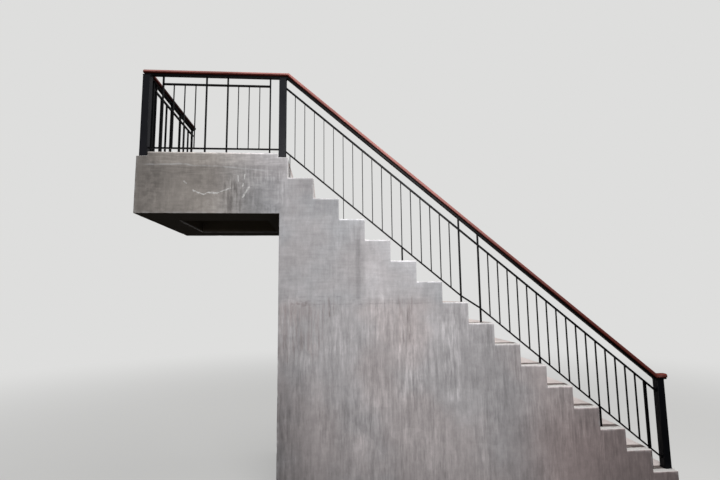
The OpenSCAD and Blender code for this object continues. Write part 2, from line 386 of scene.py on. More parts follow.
class ShaderNodes(NodeTree):
    """One material's node tree."""

    def __init__(self, name: str) -> None:
        """Starts a material that has only a Principled shader.

        Args:
            name: Name of the material.
        """
        self.material = bpy.data.materials.new(name)
        self.material.use_nodes = True
        super().__init__(self.material.node_tree)
        self.shader = self.add("ShaderNodeBsdfPrincipled")
        self.output = self.add("ShaderNodeOutputMaterial", Value(self, self.shader.outputs[0]))
        self.coords = Value(self, self.add("ShaderNodeTexCoord").outputs["Object"])
        self.x, self.y, self.z = self.parts(self.coords)
        normal = self.add("ShaderNodeNewGeometry").outputs["Normal"]
        self.ahead, _, self.up = self.parts(Value(self, normal))

    def shade(self, **values: object) -> None:
        """Feeds the shader's inputs, with underscores for the spaces in their names."""
        for key, value in values.items():
            self.feed(self.shader.inputs[key.replace("_", " ")], value)

    def noise(
        self,
        scale: float,
        stretch: tuple[float, float, float] = (1, 1, 1),
        detail: float = 3,
        roughness: float = 0.5,
        shift: float = 0,
        coords: Value | None = None,
    ) -> Value:
        """Adds a noise pattern.

        Args:
            scale: Number of lumps in a metre.
            stretch: Share of the scale along each axis.
            detail: Octaves of finer noise.
            roughness: Weight of the finer noise.
            shift: Offset that makes this pattern differ from others.
            coords: Coordinates to read, or None for the object's own.

        Returns:
            The pattern, from 0 to 1, with its middle at 0.5.
        """
        place = (shift, shift * 0.7, shift * 1.3)
        sizes = tuple(share * scale for share in stretch)
        placed = self.out("ShaderNodeMapping", coords or self.coords, place, None, sizes)
        return self.out("ShaderNodeTexNoise", placed, Scale=1, Detail=detail, Roughness=roughness)

    def blend(self, factor: object, a: object, b: object) -> Value:
        """Returns two colours mixed by a factor."""
        node = self.add("ShaderNodeMix", data_type="RGBA", Factor=factor)
        for target, value in zip(node.inputs[6:8], (a, b)):
            self.feed(target, value)
        return Value(self, node.outputs[2])

    def scaled(self, colour: object, factor: object) -> Value:
        """Returns a colour made lighter or darker by a factor."""
        return self.out("ShaderNodeVectorMath", colour, operation="SCALE", Scale=factor)

    def parts(self, vector: Value) -> tuple[Value, ...]:
        """Returns the three parts of a vector."""
        node = self.add("ShaderNodeSeparateXYZ", vector)
        return tuple(Value(self, part) for part in node.outputs)

    def attribute(self, name: str, output: str = "Fac") -> Value:
        """Returns a number or vector that the mesh holds."""
        return Value(self, self.add("ShaderNodeAttribute", attribute_name=name).outputs[output])

    def bump(self, height: Value, depth: float) -> None:
        """Gives the surface a relief that follows a pattern from 0 to 1, to a depth in metres."""
        self.shade(Normal=self.out("ShaderNodeBump", Strength=1, Distance=depth, Height=height))


@dataclass(frozen=True)
class Stroke:
    """A straight mark on the front face, from one place to another."""

    x0: float
    z0: float
    x1: float
    z1: float
    width: float

    def mask(self, x: Value, z: Value) -> Value:
        """Returns a mask that is 1 along the stroke and fades at its width.

        Args:
            x: Place along X.
            z: Height.
        """
        dx, dz = self.x1 - self.x0, self.z1 - self.z0
        length = math.hypot(dx, dz)
        px, pz = x - self.x0, z - self.z0
        along = px * (dx / length) + pz * (dz / length)
        across = px * (-dz / length) + pz * (dx / length)
        spill = along - along.tree.calc("MINIMUM", along.above(0), length)
        distance = along.tree.calc("SQRT", spill * spill + across * across)
        return distance.span(self.width, self.width * 0.3)


class Figure(Enum):
    """How a patch of the plaster is broken up."""

    EVEN = "even"
    RUNS = "runs"
    COMBED = "combed"
    FLECKED = "flecked"


@dataclass(frozen=True)
class Patch:
    """A soft-edged patch of the front face that is lighter or darker than the plaster round it.

    Attributes:
        left: Lowest place along X.
        right: Highest place along X.
        bottom: Lowest height.
        top: Greatest height.
        soft: Distance over which the patch fades.
        tone: Factor on the plaster's brightness.
        figure: How the patch is broken up.
        warmth: How far the patch takes the warm grey.
    """

    left: float
    right: float
    bottom: float
    top: float
    soft: float
    tone: float
    figure: Figure = Figure.EVEN
    warmth: float = 0.0


@dataclass(frozen=True)
class CrownBand:
    """A dark band where the steps meet the crown of the front wall.

    Attributes:
        plan: Main lines of the stair.
        colour: Colour of the band.
        fore: How far it lies on the wall's crown.
        aft: How far it lies on the treads.
        soft: Distance over which its edges fade.
    """

    plan: StairPlan
    colour: Tint = Tint(84, 68, 63)
    fore: float = 0.032
    aft: float = 0.048
    soft: float = 0.012

    def over(self, s: ShaderNodes, bare_colour: Value) -> Value:
        """Returns a colour with the dark band on it.

        Args:
            s: The tree that the colour belongs to.
            bare_colour: Colour of the surface without the band.
        """
        inner, head_x = self.plan.front_wall.hi.y, self.plan.head_x
        ragged = s.noise(16, detail=4, shift=37) * 0.04 + (s.y - 0.02)
        band = ragged.window(inner - self.fore, inner + self.aft, self.soft)
        lying = s.up.span(0.4, 0.8) * s.x.span(head_x - 0.01, head_x + 0.01, 0.0, 0.9)
        # The band darkens the up-facing surfaces of the flight beside the front wall's inner face.
        return s.blend(band * lying, bare_colour, self.colour)


@dataclass(frozen=True)
class PlasterFinish:
    """Grey cement plaster, trowelled by hand and streaked by rain.

    Attributes:
        lift_z: Height of the joint between the plaster's two lifts.
        lip_z: Height of the casting line along the kerb.
        lip_fall: Slope of the casting line.
        fascia_z: Heights between which the wall's looks change to the fascia's.
        sunk: Where the landing's soffit is sunk, along each axis.
    """

    plan: StairPlan
    cool: Tint = Tint(171, 171, 174)
    warm: Tint = Tint(172, 164, 164)
    rosy: Tint = Tint(175, 160, 159)
    earth: Tint = Tint(171, 164, 158)
    # Pale tint of up-facing plaster: pale crowns, made paler as painted light from above.
    crown: Tint = Tint(226, 222, 219)
    # Near-white of faces turned to +X: pale cement on the risers, lightened as painted light from the right.
    pale_lit_riser: Tint = Tint(246, 243, 243)
    chalk: Tint = Tint(206, 206, 208)
    scratch: Tint = Tint(214, 213, 212)
    # Dark brown-grey of undersides and the sunk soffit: unpainted concrete, darkened as painted shade.
    under: Tint = Tint(80, 73, 62)
    lift_z: float = 1.82
    lip_z: float = 3.112
    lip_fall: float = 0.055
    fascia_z: tuple[float, float] = (2.60, 2.66)
    sunk: tuple[tuple[float, float], ...] = ((-2.45, -1.28), (-0.60, 0.70), (2.665, 3.10))
    patches: tuple[Patch, ...] = (
        Patch(-0.41, 0.13, 1.84, 2.46, 0.02, 1.20),
        Patch(-0.50, -0.46, 1.84, 2.40, 0.012, 0.80),
        Patch(-1.20, -0.30, 1.825, 1.835, 0.008, 0.74, Figure.FLECKED),
        Patch(-0.90, 0.70, 1.790, 1.800, 0.008, 0.80, Figure.FLECKED),
        Patch(-1.15, -0.60, 1.86, 1.870, 0.006, 0.80, Figure.FLECKED),
        Patch(-1.10, -0.95, 1.78, 1.83, 0.02, 0.70, Figure.FLECKED, 0.4),
        Patch(-0.77, -0.71, 1.68, 1.86, 0.02, 0.72, Figure.RUNS, 0.6),
        Patch(-0.10, 0.05, 1.41, 1.86, 0.03, 0.74, Figure.RUNS, 0.5),
        Patch(-1.20, -0.80, 1.30, 1.80, 0.05, 0.86, Figure.RUNS, 0.4),
        Patch(-0.14, 0.10, 0.92, 1.42, 0.04, 1.34, Figure.RUNS),
        Patch(0.30, 0.48, 0.90, 1.62, 0.03, 1.34, Figure.RUNS),
        Patch(0.56, 0.80, 1.41, 1.62, 0.012, 0.88),
        Patch(0.98, 1.15, 0.75, 0.94, 0.02, 1.14),
        Patch(0.24, 0.30, 0.15, 0.75, 0.015, 0.80, Figure.RUNS),
        Patch(-2.06, -1.78, 2.78, 3.08, 0.08, 0.90, Figure.EVEN, 0.8),
        Patch(-2.46, -2.20, 2.78, 3.05, 0.10, 0.84, Figure.FLECKED),
        Patch(-2.34, -2.02, 2.74, 3.14, 0.07, 1.26, Figure.FLECKED),
        Patch(-1.74, -1.57, 2.62, 3.00, 0.04, 0.56, Figure.RUNS, 0.4),
        Patch(-1.57, -1.37, 2.60, 2.88, 0.05, 0.76),
        Patch(-2.44, -1.78, 2.60, 2.88, 0.08, 1.16),
        Patch(-2.38, -1.10, 3.12, 3.30, 0.03, 1.24),
        Patch(-1.58, -1.14, 2.72, 3.08, 0.06, 1.34, Figure.RUNS),
        Patch(-1.44, -1.25, 2.62, 2.95, 0.04, 0.72, Figure.RUNS),
        Patch(-2.48, -1.20, 3.12, 3.30, 0.02, 1.16, Figure.COMBED),
        Patch(-2.02, -1.60, 2.62, 3.06, 0.10, 1.10),
        Patch(-2.50, -1.20, 2.66, 3.24, 0.04, 0.86, Figure.FLECKED),
        Patch(-2.50, -1.20, 2.90, 3.12, 0.04, 0.94, Figure.COMBED),
        Patch(0.66, 1.15, 0.55, 1.45, 0.12, 0.84),
        Patch(-1.30, 1.20, -0.10, 0.42, 0.22, 0.88),
        Patch(1.20, 2.60, -0.10, 1.10, 0.25, 1.0, Figure.EVEN, 0.7),
        Patch(-2.40, -1.60, 3.02, 3.10, 0.03, 0.86, Figure.COMBED),
        Patch(-0.42, 0.24, 1.48, 1.80, 0.08, 1.16),
        Patch(0.33, 0.62, 1.02, 1.42, 0.07, 0.82),
        Patch(-1.10, -0.92, 1.46, 1.78, 0.06, 0.88),
        Patch(-0.80, -0.52, 0.20, 1.12, 0.09, 0.89),
        Patch(1.45, 1.80, 0.12, 0.66, 0.10, 1.14),
    )
    scratches: tuple[Stroke, ...] = (
        Stroke(-2.107, 2.957, -2.085, 2.940, 0.007),
        Stroke(-2.024, 2.869, -1.924, 2.829, 0.007),
        Stroke(-1.924, 2.829, -1.884, 2.850, 0.006),
        Stroke(-1.884, 2.850, -1.804, 2.845, 0.009),
        Stroke(-1.804, 2.845, -1.675, 2.893, 0.007),
        Stroke(-1.563, 2.810, -1.504, 2.905, 0.011),
        Stroke(-1.565, 2.915, -1.560, 2.930, 0.010),
        Stroke(-1.547, 3.026, -1.550, 2.985, 0.008),
        Stroke(-1.610, 3.010, -1.606, 2.960, 0.007),
    )

    def build(self) -> Material:
        """Returns the plaster's material."""
        s = ShaderNodes("plaster")
        blotch = s.noise(4.2, (1, 1, 0.7), 6, 0.6, shift=3)
        streak = s.noise(30, (1, 1, 0.10), 5, 0.6, shift=9)
        hair = s.noise(80, (1, 1, 0.11), 4, 0.6, shift=14)
        comb = s.noise(48, (0.13, 0.13, 1), 4, 0.6, shift=81)
        grain = s.noise(420, detail=2)

        ragged_z = s.noise(5, detail=4) * 0.16 + (s.z - 0.08)
        below = ragged_z.span(self.lift_z + 0.06, self.lift_z - 0.08)
        broken = s.noise(3.4, (1, 1, 0.5), 4, shift=33).span(0.36, 0.64, 0.35, 1.0)
        pull = broken * (below * 0.80 + 0.48)
        tone = self._clouds(s, blotch)
        for pattern, amount in ((streak, pull), (hair, pull * 0.62), (comb, below * -0.24 + 0.36)):
            tone *= (pattern - 0.5) * amount + 1
        # Painted shade darkens the fascia's free end and the wall's lower corners.
        tone *= grain.swing(0.20) * self._painted_shade(s)
        drift = s.noise(1.3, detail=3, shift=21).span(0.40, 0.62, 0.0, 0.45)
        tone, hue = self._patched(s, tone, below * 0.40 + drift)
        # Painted highlight: the plaster is paler just under the top edges of the kerb and steps.
        colour = s.scaled(self._base(s, hue), tone * self._painted_edge_highlight(s))
        colour = s.blend(self._lip(s), colour, self.chalk)
        colour = s.blend(self._scratches(s), colour, self.scratch)

        chalky = blotch.swing(0.20) * hair.swing(0.20)
        # Faces turned to +X, the risers among them, take a near-white tint: pale cement with painted light
        # from the right.
        colour = s.blend(s.ahead.span(0.5, 0.8), colour, s.scaled(self.pale_lit_riser, chalky))
        # Up-facing faces take the crown's tint: pale plaster, made paler as painted light from above.
        crown = CrownBand(self.plan).over(s, s.scaled(self.crown, chalky))
        colour = s.blend(s.up.span(0.25, 0.65), colour, crown)
        rubbed = s.calc("POWER", s.attribute("arris"), 3.0)
        wear = s.noise(14, detail=3, shift=5).span(0.42, 0.66, 0.0, 0.35)
        colour = s.blend(rubbed * wear, colour, self.chalk)
        # Painted shade: undersides and the sunk part of the soffit, with its sides, take the dark
        # brown-grey.
        sunk = self._recess(s)
        under = s.scaled(self.under, blotch.swing(0.4) * (sunk + 1))
        colour = s.blend(s.up.span(-0.5, -0.85).above(sunk), colour, under)

        roughness = blotch.span(0.3, 0.7, 0.78, 0.92)
        s.shade(Base_Color=colour, Roughness=roughness, Specular_IOR_Level=0.3)
        s.bump(streak * 0.45 + blotch * 0.5 + hair * 0.12 + grain * 0.10, 0.0035)
        return s.material

    def _clouds(self, s: ShaderNodes, blotch: Value) -> Value:
        """Works out the plaster's broad tones: clouds, blotches, and fields that the float left.

        Args:
            s: The plaster's tree.
            blotch: The pattern of the blotches.

        Returns:
            The factor on the plaster's brightness.
        """
        cloud = s.noise(0.9, (1, 1, 0.6), 4)
        mottle = s.noise(19, (1, 1, 0.6), 6, 0.68, shift=27)
        wander = Value(s, s.add("ShaderNodeTexNoise", s.coords, Scale=6).outputs[1])
        bent = s.out("ShaderNodeVectorMath", s.coords, s.scaled(wander, 0.10), operation="ADD")
        field = s.add("ShaderNodeTexVoronoi", bent, distance="CHEBYCHEV", Scale=2.7)
        shade = s.parts(Value(s, field.outputs["Color"]))[0]
        return cloud.swing(0.22) * blotch.swing(0.44) * mottle.swing(0.62) * shade.swing(0.10)

    def _base(self, s: ShaderNodes, hue: Value) -> Value:
        """Returns the plaster's own grey, earthy on the fascia and rosy at the wall's foot."""
        dusty = s.z.span(*self.fascia_z) * s.x.span(-1.25, -2.0)
        splashed = s.x.span(0.7, 1.7) * s.z.span(1.2, 0.4)
        grey = s.blend(hue, self.cool, self.warm)
        return s.blend(splashed, s.blend(dusty, grey, self.earth), self.rosy)

    def _patched(self, s: ShaderNodes, tone: Value, hue: Value) -> tuple[Value, Value]:
        """Works the patches of the front face into the plaster's tone and hue.

        Args:
            s: The plaster's tree.
            tone: Brightness of the plaster so far.
            hue: Share of the warm grey so far.

        Returns:
            The tone and the hue with the patches in them.
        """
        front = self.plan.front(s)
        figures = {
            Figure.EVEN: front,
            Figure.RUNS: s.noise(44, (1, 1, 0.10), 4, 0.6, shift=52).span(0.44, 0.62) * front,
            Figure.COMBED: s.noise(70, (0.08, 0.08, 1), 3, shift=61).span(0.40, 0.62) * front,
            Figure.FLECKED: s.noise(17, (1, 1, 1.6), 4, shift=66).span(0.40, 0.62) * front,
        }
        bend = s.noise(9, detail=4, shift=38) * 0.10 - 0.05
        for patch in self.patches:
            sway = bend * min(1.0, 12 * patch.soft)
            across = (s.x + sway).window(patch.left, patch.right, patch.soft)
            upward = (s.z + sway).window(patch.bottom, patch.top, patch.soft)
            mask = across * upward * figures[patch.figure]
            tone *= mask * (patch.tone - 1) + 1
            if patch.warmth:
                hue += mask * patch.warmth
        return tone, s.calc("MINIMUM", hue, 1.0)

    def _painted_shade(self, s: ShaderNodes) -> Value:
        """Returns the factor of painted shade that darkens the fascia's free end and the wall's lower
        corners.
        """
        wave = s.noise(1.7, detail=4, shift=44) * 0.5 - 0.25
        x, z = s.x + wave, s.z + wave
        fascia = s.z.span(*self.fascia_z, 1.0, x.span(-2.5, -1.35, 0.56, 0.90))
        corner = x.span(-0.75, -1.15) * z.span(1.6, 0.7)
        foot = x.span(0.5, 2.2) * z.span(1.7, 0.5)
        return fascia * (corner * -0.40 + 1) * (foot * -0.52 + 1)

    def _painted_edge_highlight(self, s: ShaderNodes) -> Value:
        """Returns the factor of painted highlight just under the tops of the kerb and steps."""
        plan = self.plan
        step = s.calc("FLOOR", s.x * (1 / plan.going) - plan.head_x / plan.going)
        on_kerb = s.x.span(plan.head_x + TOUCH, plan.head_x - TOUCH)
        top = step.above(0) * -plan.rise + on_kerb * (plan.kerb.hi.z - plan.head_z) + plan.head_z
        near = (s.z - top).span(-0.018, -0.005)
        uneven = s.noise(13, detail=3, shift=91).span(0.36, 0.62, 0.5, 1.4)
        return near * plan.front(s) * uneven + 1

    def _scratches(self, s: ShaderNodes) -> Value:
        """Returns the mask of the white scratches on the fascia."""
        bent_z = s.noise(38, detail=3, shift=2) * 0.034 + (s.z - 0.017)
        mask = self.scratches[0].mask(s.x, bent_z)
        for stroke in self.scratches[1:]:
            mask = mask.above(stroke.mask(s.x, bent_z))
        broken = s.noise(55, detail=3, shift=31).span(0.36, 0.60, 0.30, 1)
        return mask * broken * self.plan.front(s) * 0.9

    def _recess(self, s: ShaderNodes) -> Value:
        """Returns the mask of the sunk part of the landing's soffit, with its sides."""
        across, deep, high = self.sunk
        return s.x.window(*across, 0.02) * s.y.window(*deep, 0.02) * s.z.window(*high, 0.01)

    def _lip(self, s: ShaderNodes) -> Value:
        """Returns the mask of the casting line along the kerb, which falls towards the flight."""
        fall = (s.x + 2.15).above(0) * self.lip_fall + s.z
        wave = s.noise(4, detail=5, shift=70) * 0.05 + (fall - 0.025)
        line = wave.window(self.lip_z, self.lip_z + 0.007, 0.010)
        patchy = s.noise(11, detail=4, shift=77).span(0.38, 0.60, 0.15, 0.75)
        return line * patchy * s.x.window(-2.48, -1.30, 0.08)


@dataclass(frozen=True)
class CementFinish:
    """Smooth pinkish cement of the treads and the landing's floor, with a dark band beside the front wall.
    """

    plan: StairPlan
    body: Tint = Tint(240, 228, 224)
    worn: Tint = Tint(222, 210, 206)
    scuff: Tint = Tint(194, 182, 177)

    def build(self) -> Material:
        """Returns the cement's material."""
        s = ShaderNodes("tread_cement")
        cloud = s.noise(2.2, detail=4, shift=4)
        blotch = s.noise(9, detail=5, roughness=0.6, shift=11)
        speck = s.noise(160, detail=3, shift=17)
        sweep = s.noise(40, (0.25, 1, 1), detail=3, shift=23)
        colour = s.blend(cloud.span(0.35, 0.68), self.body, self.worn)
        colour = s.blend(blotch.span(0.55, 0.75) * 0.45, colour, self.scuff)
        colour = CrownBand(self.plan).over(s, colour)
        tone = speck.swing(0.14) * sweep.swing(0.08)
        s.shade(Base_Color=s.scaled(colour, tone), Roughness=blotch.span(0.3, 0.7, 0.55, 0.75))
        s.bump(speck * 0.35 + sweep, 0.0010)
        return s.material


@dataclass(frozen=True)
class SteelFinish:
    """Satin blue-black paint on steel, darkened and dulled towards the ground by painted shade."""

    name: str = "painted_steel"
    paint: Tint = Tint(18, 19, 25)
    dust: Tint = Tint(58, 57, 60)
    specular: float = 0.28

    def build(self) -> Material:
        """Returns the painted steel's material."""
        s = ShaderNodes(self.name)
        cloud = s.noise(6, detail=4, shift=6)
        orange_peel = s.noise(520, detail=2, shift=12)
        film = s.up.span(0.5, 0.9) * s.noise(35, detail=4, shift=19).span(0.4, 0.7, 0.15, 0.6)
        # Painted shade: the paint's colour and sheen fall off towards the ground.
        height_shade = s.z.span(0.3, 3.2, 0.35, 1.0)
        colour = s.scaled(s.blend(film, self.paint, self.dust), cloud.swing(0.35) * height_shade)
        s.shade(Base_Color=colour, Roughness=cloud.span(0.3, 0.7, 0.38, 0.52))
        s.shade(Specular_IOR_Level=height_shade * self.specular)
        s.bump(cloud * 0.4 + orange_peel, 0.00025)
        return s.material


@dataclass(frozen=True)
class TimberFinish:
    """Red-brown hardwood under a worn clear varnish, with a painted highlight along its rounded upper edges.

    Attributes:
        highlight_t: Depth of the painted highlight below the rail's top, along the landing.
        highlight_slope_t: Depth of the painted highlight below the rail's top, along the flight.
    """

    plan: StairPlan
    light: Tint = Tint(116, 48, 38)
    body: Tint = Tint(90, 32, 24)
    dark: Tint = Tint(48, 15, 11)
    # Pale pink of the painted highlight on the upper edges.
    painted_highlight: Tint = Tint(194, 134, 127)
    highlight_t: float = 0.0205
    highlight_slope_t: float = 0.0268

    def build(self) -> Material:
        """Returns the timber's material, whose grain follows the rail."""
        s = ShaderNodes("handrail_timber")
        run = s.attribute("grain", "Vector")
        figure = s.noise(16, (0.05, 1, 1), 4, shift=2, coords=run)
        fibre = s.noise(150, (0.02, 1, 1), 4, 0.6, shift=8, coords=run)
        pores = s.noise(420, (0.035, 1, 1), 2, shift=15, coords=run)
        cloud = s.noise(1.6, detail=3, shift=20, coords=run)
        colour = s.blend(figure.span(0.34, 0.66), self.light, self.body)
        colour = s.blend(fibre.span(0.48, 0.70) * 0.65, colour, self.dark)
        colour = s.blend(pores.span(0.60, 0.72) * 0.55, colour, self.dark)
        # Painted shade: faces that turn away from the sky, the sides and underside, are darkened.
        colour = s.scaled(colour, s.up.span(0.02, 0.60, 0.46, 1.0))
        # Painted shade: the rail darkens towards the building, where the eaves shade it, and loses its
        # painted highlight there.
        eaves_shade = s.y.span(-0.62, -0.30)
        colour = s.scaled(colour, eaves_shade * -0.65 + 1)
        # Painted highlight along the rounded upper edges, a pale pink where the varnish would mirror the
        # sky.
        colour = s.blend(self._highlight_mask(s, run) * (eaves_shade * -1 + 1), colour, self.painted_highlight)
        s.shade(Base_Color=s.scaled(colour, cloud.swing(0.35)))
        s.shade(Roughness=fibre.span(0.3, 0.7, 0.32, 0.50), Specular_IOR_Level=0.05)
        s.shade(Coat_Weight=0.03, Coat_Roughness=0.22)
        s.bump(pores * -0.5 + fibre, 0.0005)
        return s.material

    def _highlight_mask(self, s: ShaderNodes, run: Value) -> Value:
        """Returns the mask of the painted highlight along the upper edges, strongest at the top of the
        stair.
        """
        head_x = self.plan.head_x
        reach = s.x.span(head_x - 0.05, head_x + 0.10, self.highlight_t, self.highlight_slope_t)
        edge = (s.attribute("depth") - reach).span(0.002, -0.002)
        uneven = s.noise(9, (0.2, 1, 1), 4, shift=26, coords=run).span(0.34, 0.62, 0.55, 1.0)
        return edge * s.up.span(0.97, 0.80) * s.z.span(1.5, 3.3, 0.12, 0.95) * uneven


@dataclass(frozen=True)
class Finishes:
    """Every finish of the stair, each built once."""

    plaster: Finish
    cement: Finish
    steel: Finish
    # The bars' paint, darkened as painted shade.
    bars: Finish
    timber: Finish

    @classmethod
    def mixed(cls, plan: StairPlan) -> Finishes:
        """Returns the stair's finishes.

        Args:
            plan: Main lines of the stair, which the dark band, the painted highlights and the front face's
                marks follow.
        """
        # The bars take a darker copy of the newels' paint: painted shade for the thin bars under the
        # handrail.
        bar_paint_shaded = SteelFinish("painted_bars", Tint(5, 5, 7), Tint(26, 25, 27), 0.16)
        return cls(
            plaster=Finish(PlasterFinish(plan).build(), Slot.PLASTER),
            cement=Finish(CementFinish(plan).build(), Slot.CEMENT),
            steel=Finish(SteelFinish().build(), Slot.STEEL),
            bars=Finish(bar_paint_shaded.build(), Slot.STEEL),
            timber=Finish(TimberFinish(plan).build(), Slot.TIMBER),
        )


@dataclass(frozen=True)
class CastShape:
    """A cast and plastered body whose faces all face along the axes.

    Attributes:
        cell: Longest side of a face of the mesh.
        arris: Radius of the rounded edges.
        wave: How far the faces wander from true.
        chip: Depth of the deepest chips along the edges.
    """

    cell: float = 0.045
    arris: float = 0.006
    wave: float = 0.0016
    chip: float = 0.005

    def build(self, blocks: Sequence[Block]) -> Mesh:
        """Fuses blocks into one closed body, rounds its edges and makes its faces uneven.

        Args:
            blocks: The blocks that the body fills.

        Returns:
            The body's mesh, with an attribute named arris that is 1 on its rounded edges.
        """
        body = bmesh.new()
        skin = self._skin(blocks)
        body.from_mesh(skin)
        bpy.data.meshes.remove(skin)
        layer = body.verts.layers.float.new("arris")
        sharp = [e for e in body.edges if len(e.link_faces) == 2 and e.calc_face_angle(0) > 1]
        rounded = bmesh.ops.bevel(
            body, geom=sharp, offset=self.arris, segments=2, profile=0.55, affect="EDGES", clamp_overlap=True
        )
        for vert in rounded["verts"]:
            vert[layer] = 1.0
        body.normal_update()
        shifts = [vert.normal * self._offset(vert.co, vert[layer]) for vert in body.verts]
        for vert, shift in zip(body.verts, shifts):
            vert.co += shift
        return weighted(as_mesh(body))

    def _offset(self, place: Vector, edge: float) -> float:
        """Returns how far a point of the surface stands out."""
        slow = noise.noise(place * 2.3) + 0.4 * noise.noise(place * 9)
        lost = max(0.0, noise.noise(place * 21) - 0.28) * edge * 2
        return self.wave * slow - self.chip * min(lost, 1.0)

    def _skin(self, blocks: Sequence[Block]) -> Mesh:
        """Makes the faces between the filled and the empty cells of a grid.

        Args:
            blocks: The blocks that fill cells of the grid.

        Returns:
            The mesh of those faces, each facing an empty cell.
        """
        axes = [self._marks(blocks, axis.value) for axis in Axis]
        mids = [(marks[1:] + marks[:-1]) / 2 for marks in axes]
        solid = np.zeros([len(m) for m in mids], bool)
        for block in blocks:
            inside = [(m > block.lo[i]) & (m < block.hi[i]) for i, m in enumerate(mids)]
            solid |= inside[0][:, None, None] & inside[1][None, :, None] & inside[2][None, None, :]
        padded = np.pad(solid, 1).astype(np.int8)
        counts = np.array([len(marks) for marks in axes])
        quads = []
        for n in range(3):
            u, v = (n + 1) % 3, (n + 2) % 3
            steps = np.diff(padded, axis=n)
            for sign in (-1, 1):
                cells = np.argwhere(steps == sign)
                cells[:, [u, v]] -= 1
                corners = []
                for du, dv in ((0, 0), (1, 0), (1, 1), (0, 1)):
                    corner = cells.copy()
                    corner[:, u] += du
                    corner[:, v] += dv
                    corners.append(np.ravel_multi_index(corner.T, counts))
                quads.append(np.stack(corners if sign < 0 else corners[::-1], axis=1))
        used, numbered = np.unique(np.concatenate(quads), return_inverse=True)
        grid = np.unravel_index(used, counts)
        points = np.stack([axes[i][grid[i]] for i in range(3)], axis=1)
        mesh = bpy.data.meshes.new("skin")
        mesh.from_pydata(points.tolist(), [], numbered.reshape(-1, 4).tolist())
        return mesh

    def _marks(self, blocks: Sequence[Block], axis: int) -> np.ndarray:
        """Places the grid's planes along an axis: every block's faces, and planes between them.

        Args:
            blocks: The blocks that the grid holds.
            axis: Number of the axis.

        Returns:
            The planes' places in order.
        """
        corners = [corner for block in blocks for corner in (block.lo, block.hi)]
        cuts = sorted({round(corner[axis], 4) for corner in corners})
        marks = [cuts[0]]
        for low, high in zip(cuts, cuts[1:]):
            count = max(1, math.ceil((high - low) / self.cell - TOUCH))
            marks += [low + (high - low) * k / count for k in range(1, count + 1)]
        return np.array(marks)


@dataclass(frozen=True)
class Masonry:
    """Walls, edge beams, slabs and kerbs, plastered as one body."""

    plan: StairPlan
    box_nodes: tuple[str, ...] = (
        "landing_front_beam",
        "landing_rear_beam",
        "landing_end_beam",
        "landing_inner_beam",
        "landing_slab",
        "kerb_end",
    )
    other_nodes: tuple[str, ...] = ("front_wall", "rear_wall", "step_blocks", "kerb_front")

    def build(self, finishes: Finishes) -> None:
        """Makes the plastered body and the landing's floor.

        Args:
            finishes: The stair's finishes.
        """
        shell = CastShape().build(self._blocks())
        finishes.plaster.dress(shell, "plastered_body", *self.other_nodes, *self.box_nodes)
        screed = CastShape(cell=0.12, arris=0.004, wave=0.0006, chip=0.001)
        finishes.cement.dress(screed.build([self.plan.floor]), "floor_screed", "landing_floor")

    def _blocks(self) -> list[Block]:
        """Returns the boxes that the plastered body fills.

        The front kerb is two of them: a low base, and a raised length between its two notches.
        """
        plan = self.plan
        blocks = [Block.of(name) for name in self.box_nodes]
        for wall in (plan.front_wall, plan.rear_wall):
            deep = (wall.lo.y, wall.hi.y)
            blocks.append(Block.between((wall.lo.x, plan.head_x), deep, (wall.lo.z, plan.soffit_z)))
            for tread in plan.treads:
                blocks.append(Block.between((tread.lo.x, tread.hi.x), deep, (0, tread.hi.z)))
        for tread in plan.treads:
            foot = max(0, tread.hi.z - plan.rise)
            blocks.append(Block(Vector((*tread.lo.xy, foot)), Vector((*tread.hi.xy, tread.lo.z))))
        kerb = plan.kerb
        deep = (kerb.lo.y, kerb.hi.y)
        base = Block.between((kerb.lo.x, kerb.hi.x), deep, (kerb.lo.z, plan.floor.hi.z))
        return [*blocks, base, Block.between(plan.kerb_raised, deep, (kerb.lo.z, kerb.hi.z))]


